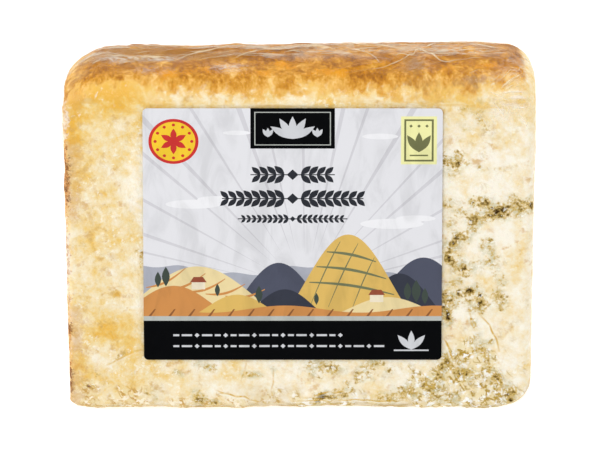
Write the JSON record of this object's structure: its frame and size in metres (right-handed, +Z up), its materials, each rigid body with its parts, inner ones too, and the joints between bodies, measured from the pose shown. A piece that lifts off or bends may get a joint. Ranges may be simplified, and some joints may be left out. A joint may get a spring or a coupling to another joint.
{
  "type": "stilton wedge",
  "caption": "Wedge of mature blue cheese with a brown rind, sealed in tight clear film with a plain paper label on its upper cut face, resting on its other cut face.",
  "frame": {"origin": "under the middle of the wedge's box, on the flat cut face that it rests on", "axes": "+X along the wheel's axis from the crusted end to the cut end, +Y from the thin edge to the rind, +Z up from the face it rests on"},
  "size_m": [0.1192, 0.094, 0.069],
  "materials": {
    "wrapped_cheese": "cream cheese with a brown rind, under glossy clear film",
    "label_paper": "coated paper with a satin sheen"
  },
  "bodies": {
    "root": {"wrapped_wedge": "wrapped_cheese", "label": "label_paper"}
  },
  "joints": []
}
